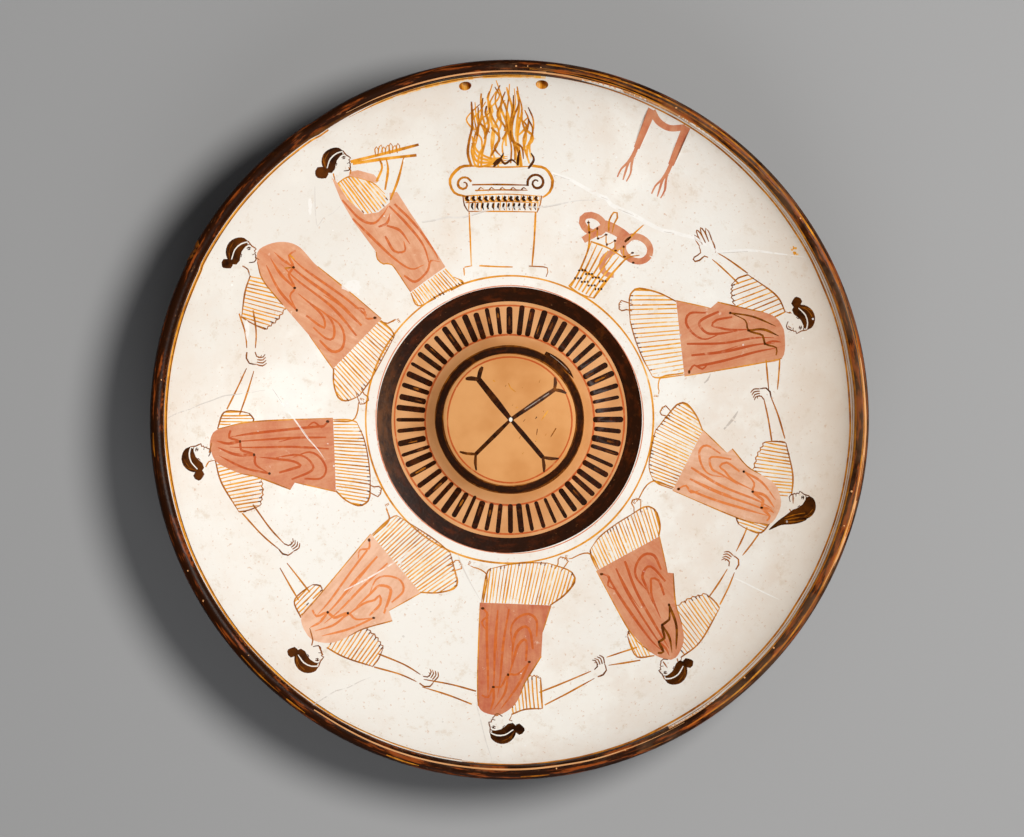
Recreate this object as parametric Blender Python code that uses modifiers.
"""A libation bowl: a shallow thrown bowl without handles or foot, with a hollow boss in its middle.

The fingertips hold it from below, inside the boss, and it hangs by two holes under its rim.
Units are metres, +Z is up. The origin is the centre of the flat ring that the bowl rests on.
The inside is drawn as a height over the distance from the axis. The underside follows it one
wall thickness away, so the wall keeps its thickness whatever size is changed.
"""
import math

import bmesh
import bpy
from mathutils import Matrix, Vector

# Driving sizes of the body
RIM_RADIUS = 0.120
HEIGHT = 0.038
WALL = 0.0045
LIP_CROWN = 0.0014

# The boss in the middle and the flat floor around it, which is also the ring it rests on
BOSS_FOOT_RADIUS = 0.030
BOSS_SHOULDER_RADIUS = 0.0205
BOSS_RISE = 0.008
BOSS_CROWN = 0.0018
FLOOR_RING_WIDTH = 0.008

# The curve of the wall: its slope where it leaves the floor, and how late it turns upward
FLOOR_SLOPE = math.radians(5.0)
WALL_TURN = 1.65

# The two holes for hanging: their bore, their distance in from the rim and their places around it
HOLE_DIAMETER = 0.0042
HOLE_INSET = 0.0077
HOLE_ANGLES = (84.5, 97.6)

# Chips in the rim: place around it in degrees, length along the rim, and depth into its outer edge
RIM_CHIPS = ((117.5, 0.007, 0.0008), (152.0, 0.006, 0.0009), (-3.0, 0.005, 0.0007))
CHIP_HEIGHT = 0.005

# How finely the round shapes are cut
TURN_STEPS = 96
BOSS_POINTS = 8
WALL_POINTS = 13
LIP_POINTS = 6
UNDERSIDE_POINTS = 11
HOLLOW_POINTS = 7
HOLE_SIDES = 24
CHIP_SIDES = 16
OFFSET_SAMPLES = 160
SEARCH_STEPS = 40
BEND_LENGTH = 0.04
CORNER_BEND = math.radians(12.0)

# Places that follow from the sizes above
INNER_RIM_RADIUS = RIM_RADIUS - WALL
FLOOR_END_RADIUS = BOSS_FOOT_RADIUS + FLOOR_RING_WIDTH
LIP_HEIGHT = HEIGHT - LIP_CROWN


def smooth_step(share):
    """Run from 0 to 1 with level ends."""
    share = min(max(share, 0.0), 1.0)
    return share * share * (3.0 - 2.0 * share)


def boss_height(radius):
    """Height of the boss over the floor: a soft-shouldered drum with a slightly domed top."""
    drum = smooth_step((BOSS_FOOT_RADIUS - radius) / (BOSS_FOOT_RADIUS - BOSS_SHOULDER_RADIUS))
    dome = (1.0 - (radius / BOSS_FOOT_RADIUS) ** 2) ** 2
    return BOSS_RISE * drum + BOSS_CROWN * dome


def wall_height(radius):
    """Height of the wall over the floor: a gentle slope that turns upright at the rim."""
    run = INNER_RIM_RADIUS - FLOOR_END_RADIUS
    rise = LIP_HEIGHT - WALL
    share = min((radius - FLOOR_END_RADIUS) / run, 1.0)
    slope_rise = min(run * math.tan(FLOOR_SLOPE), rise)
    turn = 1.0 - (1.0 - share ** WALL_TURN) ** (1.0 / WALL_TURN)
    return slope_rise * share + (rise - slope_rise) * turn


def inside_height(radius):
    """Height of the inner surface at a distance from the axis."""
    if radius < BOSS_FOOT_RADIUS:
        return WALL + boss_height(radius)
    if radius < FLOOR_END_RADIUS:
        return WALL
    return WALL + wall_height(radius)


def underside_height(radius):
    """Height of the underside: the lowest point that lies one wall away from the inner surface."""
    start = max(radius - WALL, 0.0)
    end = min(radius + WALL, INNER_RIM_RADIUS)
    lowest = HEIGHT
    for sample in range(OFFSET_SAMPLES + 1):
        inner_radius = start + (end - start) * sample / OFFSET_SAMPLES
        reach = math.sqrt(max(WALL ** 2 - (radius - inner_radius) ** 2, 0.0))
        lowest = min(lowest, inside_height(inner_radius) - reach)
    return max(lowest, 0.0)


def even_points(height_at, first, last, count):
    """Points along a height curve, spread evenly over its length and its bends together.

    A bend counts as BEND_LENGTH of curve for each radian, so tight stretches get more points.
    A sharp corner counts no more than CORNER_BEND, because it needs one point and not a crowd.
    """
    steps = SEARCH_STEPS * count
    samples = [first + (last - first) * i / steps for i in range(steps + 1)]
    places = [(radius, height_at(radius)) for radius in samples]
    travelled = [0.0]
    heading = None
    for before, after in zip(places, places[1:]):
        turned_to = math.atan2(after[1] - before[1], after[0] - before[0])
        bend = 0.0 if heading is None else abs(math.remainder(turned_to - heading, 2.0 * math.pi))
        weight = BEND_LENGTH * min(bend, CORNER_BEND)
        travelled.append(travelled[-1] + math.dist(before, after) + weight)
        heading = turned_to
    points = [places[0]]
    place = 0
    for i in range(1, count + 1):
        goal = travelled[-1] * i / count
        place += 1
        while place < steps - count + i and travelled[place] < goal:
            place += 1
        points.append(places[place])
    return points


def bowl_profile():
    """The turned outline: out over the inside, over the lip, and back in under the bowl."""
    boss = even_points(inside_height, 0.0, BOSS_FOOT_RADIUS, BOSS_POINTS)
    wall = even_points(inside_height, FLOOR_END_RADIUS, INNER_RIM_RADIUS, WALL_POINTS)
    lip = []
    for i in range(1, LIP_POINTS):
        turn = math.pi * (1.0 - i / LIP_POINTS)
        across = INNER_RIM_RADIUS + WALL / 2 * (1.0 + math.cos(turn))
        lip.append((across, LIP_HEIGHT + LIP_CROWN * math.sin(turn)))
    outside = even_points(underside_height, RIM_RADIUS, FLOOR_END_RADIUS, UNDERSIDE_POINTS)
    hollow = even_points(underside_height, BOSS_FOOT_RADIUS, 0.0, HOLLOW_POINTS)
    return boss + wall + lip + outside + hollow


def ceramic():
    """Fired clay under black gloss, as the plain solid shows it."""
    material = bpy.data.materials.new("painted_clay")
    material.use_nodes = True
    shader = material.node_tree.nodes["Principled BSDF"]
    shader.inputs["Base Color"].default_value = (0.78, 0.66, 0.52, 1.0)
    shader.inputs["Roughness"].default_value = 0.5
    shader.inputs["Metallic"].default_value = 0.0
    return material


def turned_body(collection):
    """The thrown bowl, one closed turned wall."""
    points = bowl_profile()
    mesh = bpy.data.meshes.new("bowl")
    edges = [(i, i + 1) for i in range(len(points) - 1)]
    mesh.from_pydata([(radius, 0.0, height) for radius, height in points], edges, [])
    body = bpy.data.objects.new("bowl", mesh)
    collection.objects.link(body)
    body.data.materials.append(ceramic())

    turning = body.modifiers.new("turning", "SCREW")
    turning.axis = "Z"
    turning.angle = 2.0 * math.pi
    turning.steps = TURN_STEPS
    turning.render_steps = TURN_STEPS
    turning.use_merge_vertices = True
    turning.merge_threshold = 0.00002
    turning.use_smooth_shade = True
    return body


def cutter(name, shape, place, collection):
    """A closed cutting form, kept out of sight, with its place applied to its mesh."""
    mesh = bpy.data.meshes.new(name)
    bmesh.ops.transform(shape, matrix=place, verts=shape.verts)
    shape.to_mesh(mesh)
    shape.free()
    form = bpy.data.objects.new(name, mesh)
    form.hide_render = True
    form.display_type = "WIRE"
    collection.objects.link(form)
    return form


def hole_cutter(number, degrees, collection):
    """A round bore square to the wall, through its middle."""
    radius = RIM_RADIUS - HOLE_INSET
    step = WALL / 20
    slope = math.atan2(inside_height(radius + step) - inside_height(radius - step), 2 * step)
    inward = Vector((-math.sin(slope), 0.0, math.cos(slope)))
    centre = Vector((radius, 0.0, inside_height(radius))) - inward * WALL / 2
    aim = inward.to_track_quat("Z", "Y").to_matrix().to_4x4()
    shape = bmesh.new()
    bmesh.ops.create_cone(
        shape, cap_ends=True, segments=HOLE_SIDES,
        radius1=HOLE_DIAMETER / 2, radius2=HOLE_DIAMETER / 2, depth=3 * WALL,
    )
    place = Matrix.Rotation(math.radians(degrees), 4, "Z") @ Matrix.Translation(centre) @ aim
    return cutter(f"hanging_hole_{number}", shape, place, collection)


def chip_cutter(number, degrees, length, depth, collection):
    """A long rounded bite that takes a shallow flake off the outer edge of the rim."""
    shape = bmesh.new()
    bmesh.ops.create_uvsphere(shape, u_segments=CHIP_SIDES, v_segments=CHIP_SIDES // 2, radius=1.0)
    half = Matrix.Diagonal((WALL, length, CHIP_HEIGHT, 1.0))
    centre = Matrix.Translation((RIM_RADIUS + WALL - depth, 0.0, HEIGHT))
    place = Matrix.Rotation(math.radians(degrees), 4, "Z") @ centre @ half
    return cutter(f"rim_chip_{number}", shape, place, collection)


def cut(body, form):
    """Take a cutting form out of the body."""
    taking = body.modifiers.new(form.name, "BOOLEAN")
    taking.operation = "DIFFERENCE"
    taking.solver = "EXACT"
    taking.object = form


def build():
    for old in list(bpy.data.objects):
        bpy.data.objects.remove(old, do_unlink=True)
    parts = bpy.data.collections.new("libation_bowl")
    cutters = bpy.data.collections.new("cutters")
    bpy.context.scene.collection.children.link(parts)
    bpy.context.scene.collection.children.link(cutters)

    body = turned_body(parts)
    for number, degrees in enumerate(HOLE_ANGLES, start=1):
        cut(body, hole_cutter(number, degrees, cutters))
    for number, (degrees, length, depth) in enumerate(RIM_CHIPS, start=1):
        cut(body, chip_cutter(number, degrees, length, depth, cutters))


build()
